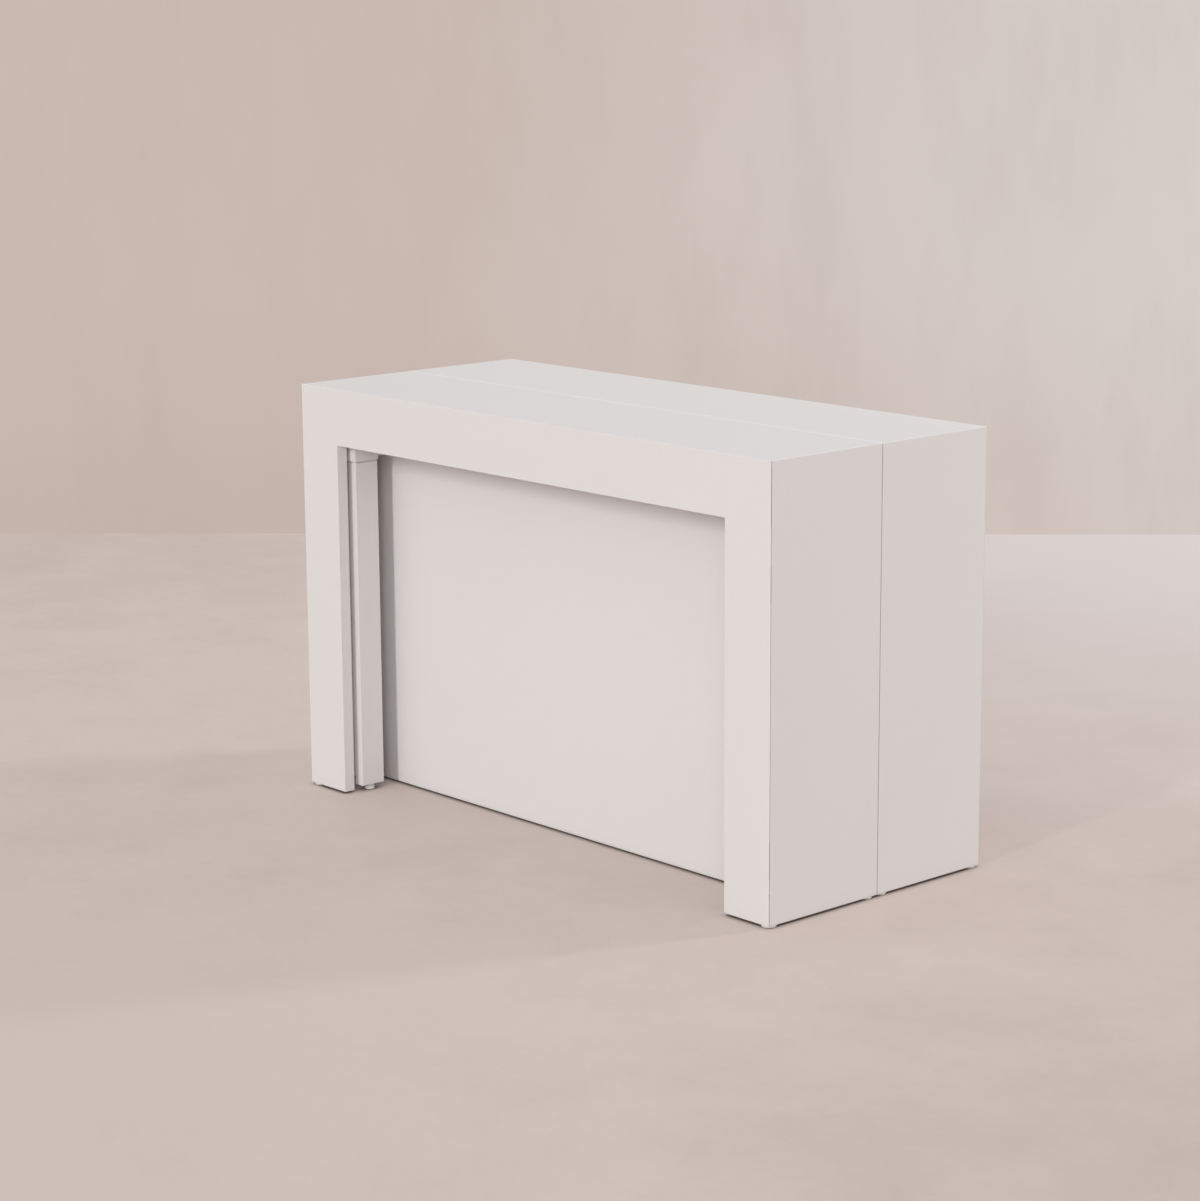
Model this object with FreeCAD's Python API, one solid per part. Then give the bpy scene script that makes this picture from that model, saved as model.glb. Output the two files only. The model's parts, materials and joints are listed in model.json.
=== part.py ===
import FreeCAD, Part
import os
from FreeCAD import Vector

# Extendable console table, modelled closed, in millimetres.
# The origin is on the floor under the middle of the closed table.
# X runs along the long side, Y to the back and Z up.
# The rear half stands still and the front half pulls out towards -Y on telescopic rails.
# Left pieces mirror right ones, and the rear half mirrors the front half.

# Closed table
WIDTH = 1200.0
DEPTH = 500.0
HEIGHT = 750.0
BOARD = 22.0
SPLIT_GAP = 2.0
UPRIGHT_JOINT = 1.0
EDGE_EASE = 1.2
SPLIT_EASE = 0.5

# Portal: an end board with a wide opening between two legs and a top rail
LEG_WIDTH = 102.0
TOP_RAIL_HEIGHT = 102.0
OPENING_RADIUS = 3.0
OPENING_EASE = 0.8

# Glides under the side boards
GLIDE_HEIGHT = 4.0
GLIDE_DIAMETER = 25.0
GLIDE_DOME = 1.5
GLIDE_SIDE_INSET = 13.0
GLIDE_END_INSET = 13.0
GLIDE_SPLIT_INSET = 16.0

# Telescopic rails, the same extruded section for every member
RAIL_MEMBERS = 7
MIDDLE_MEMBER = 3
RAIL_WIDTH = 14.0
RAIL_HEIGHT = 44.0
RAIL_WALL = 2.2
RAIL_GAP = 1.0
RAIL_SIDE_GAP = 3.0
RAIL_END_GAP = 8.0
GROOVE_LIP = 3.0
GROOVE_SLOT = 8.6
GROOVE_HEIGHT = 18.6
GROOVE_DEPTH = 4.6
STAGE_TRAVEL = 310.0
SHOE_CLEARANCE = 0.3
PLUG_LENGTH = 10.0
PLUG_CLEARANCE = 0.1
STOP_GAP = 0.3

# Rail cleats and stretchers under the tops
CLEAT_HEIGHT = 12.0
STRETCHER_HEIGHT = 48.0
STRETCHER_THICKNESS = 22.0
STRETCHER_SETBACK = 38.0
STRETCHER_END_GAP = 8.0

# Steel corner brackets and their screws
BRACKET_LEG = 25.0
BRACKET_PLATE = 2.0
BRACKET_LENGTH = 60.0
BRACKET_END_GAP = 70.0
BRACKET_HOLE_OFFSET = 15.0
SCREW_DIAMETER = 4.0
SCREW_LENGTH = 16.0
SCREW_TIP = 4.0
SCREW_HEAD_DIAMETER = 8.0
SCREW_HEAD_HEIGHT = 2.5
SCREW_HEAD_CROWN = 0.8
SCREW_CLEARANCE = 0.2

# Pegs that line up the tops and the leaves between them
PEG_DIAMETER = 8.0
PEG_REACH = 11.0
PEG_ROOT = 16.0
PEG_CHAMFER = 1.5
PEG_SPACING = 400.0
PEG_CLEARANCE = 0.3
BUSH_DIAMETER = 12.0
BUSH_LENGTH = 16.0
FIT_CLEARANCE = 0.05

# Middle support: posts in sockets, and a panel behind them
POST_THICKNESS = 22.0
POST_DEPTH = 50.0
POST_SETBACK = 11.0
POST_OFFSET = 24.0
POST_EASE = 1.0
HEAD_REBATE = 2.0
SHOULDER_GAP = 2.4
SOCKET_WALL = 5.0
SOCKET_CLEARANCE = 0.2
SOCKET_LAP = 39.0
SOCKET_PLATE = 4.0
SOCKET_EASE = 1.0
HANGER_HEIGHT = 3.0
BOLT_ROOM = 10.0
BOLT_DIAMETER = 6.0
BOLT_HEAD_DIAMETER = 10.0
BOLT_HEAD_HEIGHT = 4.0
BOLT_SPACING = 30.0
BOLT_BITE = 7.0
BOLT_CLEARANCE = 0.3
POST_SCREW_DROP = 14.0
PANEL = 18.0
PANEL_GAP = 39.0
PANEL_SIDE_GAP = 8.0
PANEL_BASE = 6.0
PANEL_TOP_GAP = 12.0
PANEL_EASE = 1.0
BATTEN_HEIGHT = 33.0

# Levelling feet under the posts
FOOT_HEIGHT = 11.0
FOOT_PAD_DIAMETER = 18.0
FOOT_PAD_HEIGHT = 7.0
FOOT_PAD_DOME = 2.5
FOOT_PAD_TAPER = 1.0
FOOT_NUT_ACROSS = 13.0
STEM_DIAMETER = 8.0
STEM_LENGTH = 36.0
STEM_ROOM = 5.0
INSERT_DIAMETER = 12.0
INSERT_LENGTH = 20.0
THREAD_CLEARANCE = 0.3

# Planes of the front half
X_OUT = WIDTH / 2
X_IN = X_OUT - BOARD
Y_OUT = -DEPTH / 2
Y_IN = Y_OUT + BOARD
Y_SPLIT = -SPLIT_GAP / 2
Z_BASE = GLIDE_HEIGHT
Z_TOP = HEIGHT
Z_UNDER = HEIGHT - BOARD
X_OPEN = X_OUT - LEG_WIDTH
Z_OPEN = HEIGHT - TOP_RAIL_HEIGHT

# Rails
RAIL_TOP = Z_UNDER - CLEAT_HEIGHT
RAIL_BASE = RAIL_TOP - RAIL_HEIGHT
RAIL_MID = RAIL_TOP - RAIL_HEIGHT / 2
RAIL_FRONT = Y_IN + RAIL_END_GAP
RAIL_LENGTH = -2 * RAIL_FRONT
RAIL_PITCH = RAIL_WIDTH + RAIL_GAP
SHOE_LENGTH = RAIL_LENGTH - STAGE_TRAVEL - PLUG_LENGTH - STOP_GAP
FIRST = 0
LAST = RAIL_MEMBERS - 1

# Middle support
POST_FRONT = Y_IN + POST_SETBACK
POST_BACK = POST_FRONT + POST_DEPTH
POST_MID = POST_FRONT + POST_DEPTH / 2
SOCKET_TOP = RAIL_BASE - HANGER_HEIGHT
SOCKET_CEILING = SOCKET_TOP - SOCKET_PLATE
POST_TOP = SOCKET_CEILING - BOLT_ROOM
SOCKET_BASE = POST_TOP - SOCKET_LAP
SOCKET_PROUD = SOCKET_CLEARANCE + SOCKET_WALL - HEAD_REBATE
POST_SHOULDER = SOCKET_BASE - SHOULDER_GAP
PANEL_FRONT = POST_BACK + PANEL_GAP
SCREW_BORE = SCREW_DIAMETER + 2 * SCREW_CLEARANCE
POST_SCREW_Z = POST_TOP - POST_SCREW_DROP
BOLT_ENDS = (POST_MID - BOLT_SPACING / 2, POST_MID + BOLT_SPACING / 2)
PEG_PLACES = (-PEG_SPACING, 0.0, PEG_SPACING)
PEG_LEVEL = HEIGHT - BOARD / 2
# A cutting tool runs past the face that it starts from by this much
OVERCUT = 1.0
# Places closer than this are the same
NEAR = 0.01

X_AXIS = Vector(1, 0, 0)
Y_AXIS = Vector(0, 1, 0)
Z_AXIS = Vector(0, 0, 1)


def block(x, y, z):
    """A box between the low and high values of x, y and z."""
    size = (x[1] - x[0], y[1] - y[0], z[1] - z[0])
    return Part.makeBox(*size, Vector(x[0], y[0], z[0]))


def rod(diameter, length, start, direction):
    return Part.makeCylinder(diameter / 2, length, start, direction)


def polygon_face(points):
    return Part.Face(Part.makePolygon(points + points[:1]))


def turned(outline, start, direction):
    """A solid of revolution from (radius, height) points, standing on start along direction."""
    shape = polygon_face([Vector(r, 0, h) for r, h in outline]).revolve(Vector(), Z_AXIS, 360)
    shape = Part.makeSolid(shape) if shape.ShapeType != "Solid" else shape
    shape.Placement = FreeCAD.Placement(start, FreeCAD.Rotation(Z_AXIS, direction))
    return shape


def frustum(outer, inner):
    """A six-sided board from its outer face to its smaller inner face, so its edges are mitred."""
    sides = [
        [outer[i], outer[(i + 1) % 4], inner[(i + 1) % 4], inner[i]]
        for i in range(4)
    ]
    shell = Part.Shell([polygon_face(points) for points in [outer, inner] + sides])
    return Part.Solid(shell)


def eased(shape, radius, chosen):
    """Round the edges whose bounding box satisfies the test."""
    return shape.makeFillet(radius, [edge for edge in shape.Edges if chosen(edge.BoundBox)])


def on_left(shape):
    return shape.mirror(Vector(), X_AXIS)


def on_rear(shape):
    return shape.mirror(Vector(), Y_AXIS)


def group(shapes):
    return Part.makeCompound([solid for shape in shapes for solid in shape.Solids])


def both_sides(shape):
    return group([shape, on_left(shape)])


def save(name, shape):
    print(name, "solids", len(shape.Solids), "volume", round(shape.Volume / 1000, 1), "cm3")
    shape.exportStep("parts/" + name + ".step")


def rounded_half():
    """The outside of one half, with its edges eased, that every carcass board is cut to."""
    half = block((-X_OUT, X_OUT), (Y_OUT, Y_SPLIT), (Z_BASE, Z_TOP))
    half = eased(half, EDGE_EASE, lambda edge: edge.YMin < Y_SPLIT - NEAR)
    return eased(half, SPLIT_EASE, lambda edge: edge.YMin > Y_SPLIT - NEAR)


def portal_plate():
    """The end board before mitring: a plate with its opening, corners rounded and edges eased."""
    plate = block((-X_OUT, X_OUT), (Y_OUT, Y_IN), (Z_BASE, Z_TOP))
    opening = block((-X_OPEN, X_OPEN), (Y_OUT, Y_IN), (Z_BASE, Z_OPEN))
    plate = plate.cut(opening)

    def at_upper_corner(edge):
        across = edge.XLength < NEAR and edge.ZLength < NEAR
        return across and abs(abs(edge.XMin) - X_OPEN) < NEAR and abs(edge.ZMin - Z_OPEN) < NEAR

    def at_rim(edge):
        inside = max(-edge.XMin, edge.XMax) < X_OPEN + NEAR and edge.ZMax < Z_OPEN + NEAR
        return inside and edge.YLength < NEAR

    plate = eased(plate, OPENING_RADIUS, at_upper_corner)
    return eased(plate, OPENING_EASE, at_rim)


def carcass_blank(face):
    """A mitred board of the front half, before easing and drilling."""
    if face == "portal":
        outer = [(-X_OUT, Z_BASE), (X_OUT, Z_BASE), (X_OUT, Z_TOP), (-X_OUT, Z_TOP)]
        inner = [(-X_IN, Z_BASE), (X_IN, Z_BASE), (X_IN, Z_UNDER), (-X_IN, Z_UNDER)]
        return frustum([Vector(x, Y_OUT, z) for x, z in outer], [Vector(x, Y_IN, z) for x, z in inner])
    if face == "top":
        outer = [(-X_OUT, Y_OUT), (X_OUT, Y_OUT), (X_OUT, Y_SPLIT), (-X_OUT, Y_SPLIT)]
        inner = [(-X_IN, Y_IN), (X_IN, Y_IN), (X_IN, Y_SPLIT), (-X_IN, Y_SPLIT)]
        return frustum([Vector(x, y, Z_TOP) for x, y in outer], [Vector(x, y, Z_UNDER) for x, y in inner])
    front = Y_OUT + UPRIGHT_JOINT
    back = Y_IN + UPRIGHT_JOINT
    outer = [(front, Z_BASE), (Y_SPLIT, Z_BASE), (Y_SPLIT, Z_TOP), (front, Z_TOP)]
    inner = [(back, Z_BASE), (Y_SPLIT, Z_BASE), (Y_SPLIT, Z_UNDER), (back, Z_UNDER)]
    return frustum([Vector(X_OUT, y, z) for y, z in outer], [Vector(X_IN, y, z) for y, z in inner])


def bracket_levels():
    """The lower end of each bracket along a corner."""
    return (Z_BASE + BRACKET_END_GAP, Z_OPEN - BRACKET_END_GAP - BRACKET_LENGTH)


def bracket_screws():
    """Start under the head and driving direction of the screws in one front right corner."""
    places = []
    for level in bracket_levels():
        middle = level + BRACKET_LENGTH / 2
        into_portal = Vector(X_IN - BRACKET_HOLE_OFFSET, Y_IN + BRACKET_PLATE, middle)
        into_side = Vector(X_IN - BRACKET_PLATE, Y_IN + BRACKET_HOLE_OFFSET, middle)
        places.append((into_portal, -Y_AXIS))
        places.append((into_side, X_AXIS))
    return places


def screw(under_head, direction, length):
    """A pan-head screw, driven along direction, with its head seated at under_head."""
    radius = SCREW_DIAMETER / 2
    head = SCREW_HEAD_DIAMETER / 2
    outline = [
        (0, -SCREW_HEAD_HEIGHT),
        (head - SCREW_HEAD_CROWN, -SCREW_HEAD_HEIGHT),
        (head, SCREW_HEAD_CROWN - SCREW_HEAD_HEIGHT),
        (head, 0),
        (radius, 0),
        (radius, length - SCREW_TIP),
        (0, length),
    ]
    return turned(outline, under_head, direction)


def screw_hole(under_head, direction, length):
    return rod(SCREW_BORE, length + SCREW_CLEARANCE, under_head, direction)


def corner_bracket(level):
    """A steel angle in the front right corner, with a hole in each leg."""
    corner = [
        (X_IN, Y_IN),
        (X_IN - BRACKET_LEG, Y_IN),
        (X_IN - BRACKET_LEG, Y_IN + BRACKET_PLATE),
        (X_IN - BRACKET_PLATE, Y_IN + BRACKET_PLATE),
        (X_IN - BRACKET_PLATE, Y_IN + BRACKET_LEG),
        (X_IN, Y_IN + BRACKET_LEG),
    ]
    angle = polygon_face([Vector(x, y, level) for x, y in corner]).extrude(Z_AXIS * BRACKET_LENGTH)
    for under_head, direction in bracket_screws():
        angle = angle.cut(screw_hole(under_head, direction, SCREW_LENGTH))
    return angle


def glide_places():
    x = X_OUT - GLIDE_SIDE_INSET
    return [(x, Y_OUT + GLIDE_END_INSET), (x, Y_SPLIT - GLIDE_SPLIT_INSET)]


def glide(x, y):
    """A bevelled disc that is glued under the lower edge of a side board."""
    radius = GLIDE_DIAMETER / 2
    outline = [
        (0, 0),
        (radius - GLIDE_DOME, 0),
        (radius, GLIDE_DOME),
        (radius, GLIDE_HEIGHT),
        (0, GLIDE_HEIGHT),
    ]
    return turned(outline, Vector(x, y, 0), Z_AXIS)


def carcass(rounding):
    """Portal board, top and right side board of the front half, with their pilot holes."""
    portal = carcass_blank("portal").common(portal_plate()).common(rounding)
    top = carcass_blank("top").common(rounding)
    side = carcass_blank("side").common(rounding)
    for under_head, direction in bracket_screws():
        hole = screw_hole(under_head, direction, SCREW_LENGTH)
        portal = portal.cut(group([hole, on_left(hole)]))
        side = side.cut(hole)
    return portal, top, side


def peg_hole(diameter, depth, x):
    """A hole into the split edge of the front top."""
    start = Vector(x, Y_SPLIT + OVERCUT, PEG_LEVEL)
    return rod(diameter + 2 * FIT_CLEARANCE, depth + OVERCUT, start, -Y_AXIS)


def leaf_peg(x):
    """A round peg that stands out of the front top's split edge."""
    radius = PEG_DIAMETER / 2
    length = PEG_ROOT + PEG_REACH
    outline = [
        (0, 0),
        (radius, 0),
        (radius, length - PEG_CHAMFER),
        (radius - PEG_CHAMFER, length),
        (0, length),
    ]
    return turned(outline, Vector(x, Y_SPLIT - PEG_ROOT, PEG_LEVEL), Y_AXIS)


def peg_bush(x):
    """A plastic sleeve in the rear top's split edge, open towards the peg."""
    start = Vector(x, -Y_SPLIT, PEG_LEVEL)
    sleeve = rod(BUSH_DIAMETER, BUSH_LENGTH, start, Y_AXIS)
    return sleeve.cut(rod(PEG_DIAMETER + 2 * PEG_CLEARANCE, BUSH_LENGTH, start, Y_AXIS))


def rail_centre(member):
    """Distance of a rail member from the middle plane: member 0 lies next to the side board."""
    return X_IN - RAIL_SIDE_GAP - RAIL_WIDTH / 2 - member * RAIL_PITCH


def inner_face(member):
    return rail_centre(member) - RAIL_WIDTH / 2


def outer_face(member):
    return rail_centre(member) + RAIL_WIDTH / 2


def rail(member):
    """A right rail member: an extrusion with a T groove outside and a hollow above and below it."""
    outside = outer_face(member)
    inside = inner_face(member)
    lip = outside - GROOVE_LIP
    floor = lip - GROOVE_DEPTH
    slot = GROOVE_SLOT / 2
    cavity = GROOVE_HEIGHT / 2
    outline = [
        (outside, RAIL_TOP),
        (inside, RAIL_TOP),
        (inside, RAIL_BASE),
        (outside, RAIL_BASE),
        (outside, RAIL_MID - slot),
        (lip, RAIL_MID - slot),
        (lip, RAIL_MID - cavity),
        (floor, RAIL_MID - cavity),
        (floor, RAIL_MID + cavity),
        (lip, RAIL_MID + cavity),
        (lip, RAIL_MID + slot),
        (outside, RAIL_MID + slot),
    ]
    section = polygon_face([Vector(x, RAIL_FRONT, z) for x, z in outline])
    shape = section.extrude(Y_AXIS * RAIL_LENGTH)
    across = (inside + RAIL_WALL, outside - RAIL_WALL)
    along = (RAIL_FRONT, RAIL_FRONT + RAIL_LENGTH)
    lower = (RAIL_BASE + RAIL_WALL, RAIL_MID - cavity - RAIL_WALL)
    upper = (RAIL_MID + cavity + RAIL_WALL, RAIL_TOP - RAIL_WALL)
    return shape.cut(block(across, along, lower)).cut(block(across, along, upper))


def tee(neck_x, head_x, back_x, clearance, y, length):
    """A T-section bar along Y: a neck from neck_x to head_x and a head from there to back_x."""
    neck = GROOVE_SLOT / 2 - clearance
    head = GROOVE_HEIGHT / 2 - clearance
    outline = [
        (neck_x, RAIL_MID - neck),
        (head_x, RAIL_MID - neck),
        (head_x, RAIL_MID - head),
        (back_x, RAIL_MID - head),
        (back_x, RAIL_MID + head),
        (head_x, RAIL_MID + head),
        (head_x, RAIL_MID + neck),
        (neck_x, RAIL_MID + neck),
    ]
    return polygon_face([Vector(x, y, z) for x, z in outline]).extrude(Y_AXIS * length)


def rail_shoe(member):
    """A nylon shoe on the member's inner face that runs in the groove of the next member."""
    lip = outer_face(member + 1) - GROOVE_LIP
    head = lip - SHOE_CLEARANCE
    back = lip - GROOVE_DEPTH + SHOE_CLEARANCE
    return tee(inner_face(member), head, back, SHOE_CLEARANCE, RAIL_FRONT, SHOE_LENGTH)


def rail_plug(member):
    """A plug in the rear end of the member's groove, which stops the shoe at full travel."""
    lip = outer_face(member) - GROOVE_LIP
    head = lip - PLUG_CLEARANCE
    back = lip - GROOVE_DEPTH + PLUG_CLEARANCE
    rear = RAIL_FRONT + RAIL_LENGTH
    return tee(outer_face(member), head, back, PLUG_CLEARANCE, rear - PLUG_LENGTH, PLUG_LENGTH)


def rail_cleat(member):
    """A wooden strip between a rail member and the front top."""
    across = (inner_face(member), outer_face(member))
    return block(across, (Y_IN, Y_SPLIT), (RAIL_TOP, Z_UNDER))


def stretcher():
    """A stiffening rail under the front top, just behind the split."""
    reach = inner_face(LAST) - STRETCHER_END_GAP
    back = Y_SPLIT - STRETCHER_SETBACK
    upright = (Z_UNDER - STRETCHER_HEIGHT, Z_UNDER)
    return block((-reach, reach), (back - STRETCHER_THICKNESS, back), upright)


def socket_bolt(y):
    """A bolt through the socket's plate, up into the middle rail."""
    seat = Vector(rail_centre(MIDDLE_MEMBER), y, SOCKET_CEILING)
    head = rod(BOLT_HEAD_DIAMETER, BOLT_HEAD_HEIGHT, seat, -Z_AXIS)
    shank = rod(BOLT_DIAMETER, RAIL_BASE + BOLT_BITE - SOCKET_CEILING, seat, Z_AXIS)
    return head.fuse(shank).removeSplitter()


def bolt_holes():
    x = rail_centre(MIDDLE_MEMBER)
    length = RAIL_BASE + BOLT_BITE - SOCKET_CEILING + OVERCUT
    start_z = SOCKET_CEILING - OVERCUT
    bore = BOLT_DIAMETER + 2 * BOLT_CLEARANCE
    return group([rod(bore, length + OVERCUT, Vector(x, y, start_z), Z_AXIS) for y in BOLT_ENDS])


def post_sides(margin):
    """The planes of the post's inner and outer sides, moved out by a margin."""
    middle = rail_centre(MIDDLE_MEMBER) - POST_OFFSET
    half = POST_THICKNESS / 2 + margin
    return middle - half, middle + half


def foot_centre():
    """The point on the floor under the middle of the post."""
    return Vector(sum(post_sides(0)) / 2, POST_MID, 0)


def post_screw_seat():
    """Seat of the screw that holds the post, on the outer side of the socket."""
    return Vector(post_sides(SOCKET_PROUD)[1], POST_MID, POST_SCREW_Z)


def post_head(margin, base, top):
    """The rebated head of the post, made larger by a margin on the three sides that the socket holds."""
    inset = margin - HEAD_REBATE
    return block(post_sides(inset), (POST_FRONT - inset, POST_BACK), (base, top))


def post_socket():
    """A channel round three sides of the post's head, under a plate that bolts to the middle rail."""
    sides = post_sides(SOCKET_PROUD)
    along = (POST_FRONT - SOCKET_PROUD, POST_BACK)
    channel = block(sides, along, (SOCKET_BASE, SOCKET_TOP))
    channel = eased(channel, SOCKET_EASE, lambda edge: edge.ZMin < SOCKET_TOP - NEAR)
    room = post_head(SOCKET_CLEARANCE, SOCKET_BASE, SOCKET_CEILING)
    plate = block((sides[0], outer_face(MIDDLE_MEMBER)), along, (SOCKET_CEILING, SOCKET_TOP))
    bearer = block((inner_face(MIDDLE_MEMBER), outer_face(MIDDLE_MEMBER)), along, (SOCKET_TOP, RAIL_BASE))
    socket = channel.cut(room).fuse(plate).fuse(bearer).removeSplitter().cut(bolt_holes())
    return socket.cut(screw_hole(post_screw_seat(), -X_AXIS, SCREW_LENGTH))


def post():
    """A post of the same board, shouldered under its socket, with an insert's pocket in its foot."""
    shape = block(post_sides(0), (POST_FRONT, POST_BACK), (FOOT_HEIGHT, POST_SHOULDER))
    shape = shape.makeFillet(POST_EASE, shape.Edges)
    shape = shape.fuse(post_head(0, POST_SHOULDER - POST_EASE, POST_TOP)).removeSplitter()
    start = foot_centre() + Z_AXIS * FOOT_HEIGHT
    shape = shape.cut(rod(INSERT_DIAMETER + 2 * FIT_CLEARANCE, INSERT_LENGTH, start, Z_AXIS))
    shape = shape.cut(rod(STEM_DIAMETER + 2 * THREAD_CLEARANCE, STEM_LENGTH + STEM_ROOM, start, Z_AXIS))
    return shape.cut(screw_hole(post_screw_seat(), -X_AXIS, SCREW_LENGTH))


def foot_insert():
    start = foot_centre() + Z_AXIS * FOOT_HEIGHT
    sleeve = rod(INSERT_DIAMETER, INSERT_LENGTH, start, Z_AXIS)
    return sleeve.cut(rod(STEM_DIAMETER + 2 * THREAD_CLEARANCE, INSERT_LENGTH, start, Z_AXIS))


def levelling_foot():
    """A pad on a threaded stem, with a hexagon to turn it by, screwed home against the post."""
    centre = foot_centre()
    pad = FOOT_PAD_DIAMETER / 2
    outline = [
        (0, 0),
        (pad - FOOT_PAD_DOME, 0),
        (pad, FOOT_PAD_DOME),
        (pad - FOOT_PAD_TAPER, FOOT_PAD_HEIGHT),
        (0, FOOT_PAD_HEIGHT),
    ]
    corner = FOOT_NUT_ACROSS / 3 ** 0.5
    hexagon = [Vector(corner, 0, 0)]
    for turn in range(1, 6):
        hexagon.append(FreeCAD.Rotation(Z_AXIS, 60 * turn).multVec(hexagon[0]))
    nut = polygon_face([centre + Z_AXIS * FOOT_PAD_HEIGHT + point for point in hexagon])
    nut = nut.extrude(Z_AXIS * (FOOT_HEIGHT - FOOT_PAD_HEIGHT))
    stem = rod(STEM_DIAMETER, STEM_LENGTH, centre + Z_AXIS * FOOT_HEIGHT, Z_AXIS)
    return turned(outline, centre, Z_AXIS).fuse(nut).fuse(stem).removeSplitter()


def centre_panel():
    reach = X_IN - PANEL_SIDE_GAP
    upright = (PANEL_BASE, RAIL_BASE - PANEL_TOP_GAP)
    shape = block((-reach, reach), (PANEL_FRONT, PANEL_FRONT + PANEL), upright)
    return shape.makeFillet(PANEL_EASE, shape.Edges)


def panel_batten():
    """A short batten behind the post's head that carries the panel."""
    return block(post_sides(0), (POST_BACK, PANEL_FRONT), (POST_TOP - BATTEN_HEIGHT, POST_TOP))


def save_half(place, portal, top, side, member):
    """Carcass, brackets, screws, glides, cleats and fixed rails of one half."""
    turn = on_rear if place == "rear" else (lambda shape: shape)
    brackets = group([corner_bracket(level) for level in bracket_levels()])
    screws = group([screw(seat, direction, SCREW_LENGTH) for seat, direction in bracket_screws()])
    glides = group([glide(x, y) for x, y in glide_places()])
    save(place + "_portal_board", turn(portal))
    save(place + "_top_panel", turn(top))
    save(place + "_right_side", turn(side))
    save(place + "_left_side", turn(on_left(side)))
    save(place + "_stretcher", turn(stretcher()))
    save(place + "_corner_brackets", turn(both_sides(brackets)))
    save(place + "_bracket_screws", turn(both_sides(screws)))
    save(place + "_glides", turn(both_sides(glides)))
    save(place + "_rail_cleats", turn(both_sides(rail_cleat(member))))
    save(place + "_right_rail", rail(member))
    save(place + "_left_rail", on_left(rail(member)))


def main():
    os.makedirs("parts", exist_ok=True)
    portal, top, side = carcass(rounded_half())
    front_top = top.cut(group([peg_hole(PEG_DIAMETER, PEG_ROOT, x) for x in PEG_PLACES]))
    rear_top = top.cut(group([peg_hole(BUSH_DIAMETER, BUSH_LENGTH, x) for x in PEG_PLACES]))
    save_half("front", portal, front_top, side, LAST)
    save_half("rear", portal, rear_top, side, FIRST)
    save("leaf_pegs", group([leaf_peg(x) for x in PEG_PLACES]))
    save("peg_bushes", group([peg_bush(x) for x in PEG_PLACES]))
    save("rear_rail_shoes", both_sides(rail_shoe(FIRST)))
    save("front_rail_plugs", both_sides(rail_plug(LAST)))

    for member in range(FIRST + 1, LAST):
        place = "middle" if member == MIDDLE_MEMBER else "stage_" + str(member)
        member_rail = rail(member).cut(bolt_holes()) if member == MIDDLE_MEMBER else rail(member)
        save(place + "_right_rail", member_rail)
        save(place + "_left_rail", on_left(member_rail))
        save(place + "_rail_shoes", both_sides(rail_shoe(member)))
        save(place + "_rail_plugs", both_sides(rail_plug(member)))

    save("right_post_socket", post_socket())
    save("left_post_socket", on_left(post_socket()))
    save("socket_bolts", both_sides(group([socket_bolt(y) for y in BOLT_ENDS])))
    save("right_post", post())
    save("left_post", on_left(post()))
    save("post_screws", both_sides(screw(post_screw_seat(), -X_AXIS, SCREW_LENGTH)))
    save("right_panel_batten", panel_batten())
    save("left_panel_batten", on_left(panel_batten()))
    save("centre_panel", centre_panel())
    save("foot_inserts", both_sides(foot_insert()))
    save("right_levelling_foot", levelling_foot())
    save("left_levelling_foot", on_left(levelling_foot()))


main()
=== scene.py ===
# %% [markdown]
# # Dressing an extendable console table
# The table is a white lacquered box frame that splits across the middle and pulls out on
# telescopic rails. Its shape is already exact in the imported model, so this lesson leaves every
# solid where it is and gives it what a photograph shows: light, finishes, and the small details
# that are too fine for the solids.

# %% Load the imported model
import json
import math

import bmesh
import bpy
from mathutils import Matrix, Quaternion, Vector


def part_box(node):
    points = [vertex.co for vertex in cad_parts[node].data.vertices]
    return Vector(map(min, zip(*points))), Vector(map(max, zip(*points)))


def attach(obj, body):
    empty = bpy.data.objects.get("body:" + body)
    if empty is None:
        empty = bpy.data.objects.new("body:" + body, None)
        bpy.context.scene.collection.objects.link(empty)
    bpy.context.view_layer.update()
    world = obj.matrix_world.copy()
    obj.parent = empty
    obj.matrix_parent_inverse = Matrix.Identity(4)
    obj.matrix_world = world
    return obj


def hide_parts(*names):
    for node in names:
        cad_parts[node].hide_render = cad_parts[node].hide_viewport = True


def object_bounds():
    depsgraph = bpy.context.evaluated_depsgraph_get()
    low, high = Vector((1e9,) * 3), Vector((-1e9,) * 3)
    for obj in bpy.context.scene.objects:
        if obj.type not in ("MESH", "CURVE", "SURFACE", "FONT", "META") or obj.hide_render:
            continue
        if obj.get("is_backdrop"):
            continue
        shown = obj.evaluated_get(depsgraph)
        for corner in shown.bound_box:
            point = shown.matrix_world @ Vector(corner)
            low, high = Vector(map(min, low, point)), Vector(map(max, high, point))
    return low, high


MM = 0.001
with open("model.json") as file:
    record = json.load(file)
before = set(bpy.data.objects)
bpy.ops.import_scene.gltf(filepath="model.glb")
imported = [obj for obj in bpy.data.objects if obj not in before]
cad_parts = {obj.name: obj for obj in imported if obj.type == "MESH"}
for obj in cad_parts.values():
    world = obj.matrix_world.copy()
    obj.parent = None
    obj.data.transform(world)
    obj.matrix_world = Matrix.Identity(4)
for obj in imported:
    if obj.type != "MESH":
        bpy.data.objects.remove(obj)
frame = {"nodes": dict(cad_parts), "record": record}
cad_low, cad_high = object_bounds()
print("closed table:", [round(v, 3) for v in cad_high - cad_low], "m,", len(frame["nodes"]), "nodes")

# %% [markdown]
# ## The camera
# The picture is taken from the front right corner with a long lens, a little above the table top.
# A camera could be turned by hand until it looks right. Here its place, aim and lens come from
# solving for the corners of the table in the picture, so every edge falls where it should. The
# small roll is the tilt of the hand-held frame.

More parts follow.
